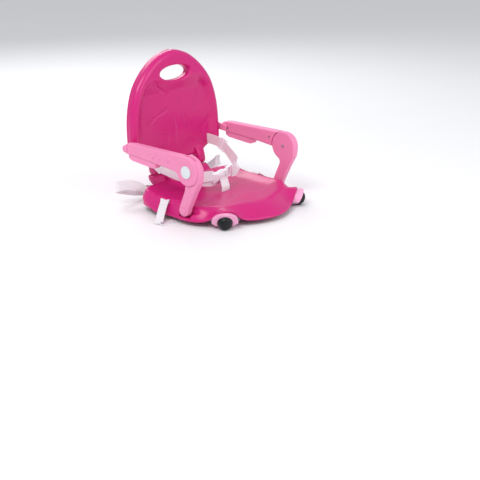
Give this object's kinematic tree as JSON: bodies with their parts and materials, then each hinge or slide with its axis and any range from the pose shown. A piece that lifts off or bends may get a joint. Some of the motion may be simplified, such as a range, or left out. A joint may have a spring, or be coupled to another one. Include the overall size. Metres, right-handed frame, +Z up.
{
  "type": "booster seat",
  "caption": "Folding child booster seat with a dished seat, round-topped backrest with a carrying hole, jointed arms, waist harness, swing-down feet and straps for an adult chair.",
  "frame": {"origin": "on the surface that the feet stand on, at the middle of the overall box", "axes": "+Z up, the child faces -Y, the child's left is +X"},
  "size_m": [0.4062, 0.355, 0.3494],
  "materials": {
    "magenta_shell": "satin moulded polypropylene",
    "dark_magenta_base": "matt moulded polypropylene",
    "light_pink_arm": "satin moulded polypropylene",
    "light_pink_leg": "satin moulded polypropylene",
    "white_button": "gloss",
    "white_webbing": "woven polyester webbing",
    "white_buckle": "satin acetal",
    "black_rubber": "satin moulded rubber",
    "grey_bracket": "matt glass-filled nylon",
    "steel": "zinc plated"
  },
  "bodies": {
    "seat": {"seat_shell": "magenta_shell", "base_plate": "dark_magenta_base", "base_screws": "steel", "leg_hinge_pins": "steel", "backrest_hinge_rod": "steel", "crotch_strap": "white_webbing", "harness_buckle": "white_buckle", "harness_tongue": "white_buckle", "chair_buckle": "white_buckle", "back_buckle": "white_buckle", "leg_bracket_front_left": "grey_bracket", "leg_bracket_front_right": "grey_bracket", "leg_bracket_rear_left": "grey_bracket", "leg_bracket_rear_right": "grey_bracket", "strut_pin_left": "steel", "waist_strap_left": "white_webbing", "waist_slider_left": "white_buckle", "chair_strap_left": "white_webbing", "back_strap_left": "white_webbing", "strut_pin_right": "steel", "waist_strap_right": "white_webbing", "waist_slider_right": "white_buckle", "chair_strap_right": "white_webbing", "back_strap_right": "white_webbing"},
    "backrest": {"backrest_shell": "magenta_shell", "backrest_cover": "magenta_shell", "backrest_screws": "steel"},
    "strut_left": {"strut_inner_left": "light_pink_arm", "strut_outer_left": "light_pink_arm", "elbow_pin_left": "steel"},
    "arm_left": {"arm_inner_left": "light_pink_arm", "arm_outer_left": "light_pink_arm", "arm_screws_left": "steel", "arm_pivot_left": "light_pink_arm", "tray_rail_left": "light_pink_arm", "button_spring_left": "steel"},
    "button_left": {"elbow_button_left": "white_button"},
    "strut_right": {"strut_inner_right": "light_pink_arm", "strut_outer_right": "light_pink_arm", "elbow_pin_right": "steel"},
    "arm_right": {"arm_inner_right": "light_pink_arm", "arm_outer_right": "light_pink_arm", "arm_screws_right": "steel", "arm_pivot_right": "light_pink_arm", "tray_rail_right": "light_pink_arm", "button_spring_right": "steel"},
    "button_right": {"elbow_button_right": "white_button"},
    "leg_front_left": {"leg_front_left": "light_pink_leg", "foot_front_left": "black_rubber"},
    "leg_lock_front_left": {"leg_button_front_left": "grey_bracket"},
    "leg_front_right": {"leg_front_right": "light_pink_leg", "foot_front_right": "black_rubber"},
    "leg_lock_front_right": {"leg_button_front_right": "grey_bracket"},
    "leg_rear_left": {"leg_rear_left": "light_pink_leg", "foot_rear_left": "black_rubber"},
    "leg_lock_rear_left": {"leg_button_rear_left": "grey_bracket"},
    "leg_rear_right": {"leg_rear_right": "light_pink_leg", "foot_rear_right": "black_rubber"},
    "leg_lock_rear_right": {"leg_button_rear_right": "grey_bracket"}
  },
  "joints": [
    {"name": "backrest_fold", "type": "hinge", "parent": "seat", "child": "backrest", "pos_m": [0, 0.1455, 0.074], "axis": [1, 0, 0], "range_deg": [0, 90], "deforming": ["waist_strap_left", "waist_strap_right", "waist_slider_left", "waist_slider_right", "harness_buckle", "harness_tongue", "crotch_strap"]},
    {"name": "strut_swing_left", "type": "hinge", "parent": "seat", "child": "strut_left", "pos_m": [0.159, -0.045, 0.033], "axis": [1, 0, 0], "range_deg": [0, 45.72]},
    {"name": "elbow_left", "type": "hinge", "parent": "strut_left", "child": "arm_left", "pos_m": [0.159, -0.062, 0.125], "axis": [1, 0, 0], "range_deg": [-57.33, 0]},
    {"name": "button_press_left", "type": "slide", "parent": "arm_left", "child": "button_left", "axis": [-1, 0, 0], "range_m": [0, 0.0038], "stiffness_N_per_m": 400, "springref_m": -0.004, "deforming": ["button_spring_left"]},
    {"name": "strut_swing_right", "type": "hinge", "parent": "seat", "child": "strut_right", "pos_m": [-0.159, -0.045, 0.033], "axis": [1, 0, 0], "range_deg": [0, 45.72]},
    {"name": "elbow_right", "type": "hinge", "parent": "strut_right", "child": "arm_right", "pos_m": [-0.159, -0.062, 0.125], "axis": [1, 0, 0], "range_deg": [-57.33, 0]},
    {"name": "button_press_right", "type": "slide", "parent": "arm_right", "child": "button_right", "axis": [1, 0, 0], "range_m": [0, 0.0038], "stiffness_N_per_m": 400, "springref_m": -0.004, "deforming": ["button_spring_right"]},
    {"name": "leg_swing_front_left", "type": "hinge", "parent": "seat", "child": "leg_front_left", "pos_m": [0.08316, -0.09016, 0.021], "axis": [0.7071, 0.7071, 0], "range_deg": [0, 45]},
    {"name": "leg_lock_press_front_left", "type": "slide", "parent": "leg_front_left", "child": "leg_lock_front_left", "axis": [0, 0, 1], "range_m": [0, 0.0025], "stiffness_N_per_m": 300, "springref_m": -0.003},
    {"name": "leg_swing_front_right", "type": "hinge", "parent": "seat", "child": "leg_front_right", "pos_m": [-0.08316, -0.09016, 0.021], "axis": [0.7071, -0.7071, 0], "range_deg": [0, 45]},
    {"name": "leg_lock_press_front_right", "type": "slide", "parent": "leg_front_right", "child": "leg_lock_front_right", "axis": [0, 0, 1], "range_m": [0, 0.0025], "stiffness_N_per_m": 300, "springref_m": -0.003},
    {"name": "leg_swing_rear_left", "type": "hinge", "parent": "seat", "child": "leg_rear_left", "pos_m": [0.07816, 0.04016, 0.021], "axis": [-0.7071, 0.7071, 0], "range_deg": [0, 45]},
    {"name": "leg_lock_press_rear_left", "type": "slide", "parent": "leg_rear_left", "child": "leg_lock_rear_left", "axis": [0, 0, 1], "range_m": [0, 0.0025], "stiffness_N_per_m": 300, "springref_m": -0.003},
    {"name": "leg_swing_rear_right", "type": "hinge", "parent": "seat", "child": "leg_rear_right", "pos_m": [-0.07816, 0.04016, 0.021], "axis": [-0.7071, -0.7071, 0], "range_deg": [0, 45]},
    {"name": "leg_lock_press_rear_right", "type": "slide", "parent": "leg_rear_right", "child": "leg_lock_rear_right", "axis": [0, 0, 1], "range_m": [0, 0.0025], "stiffness_N_per_m": 300, "springref_m": -0.003}
  ],
  "couplings": [
    {"joint": "strut_swing_left", "follows": "backrest_fold", "ratio": 0.5024},
    {"joint": "elbow_left", "follows": "backrest_fold", "ratio": -0.6314},
    {"joint": "strut_swing_right", "follows": "backrest_fold", "ratio": 0.5024},
    {"joint": "elbow_right", "follows": "backrest_fold", "ratio": -0.6314}
  ]
}
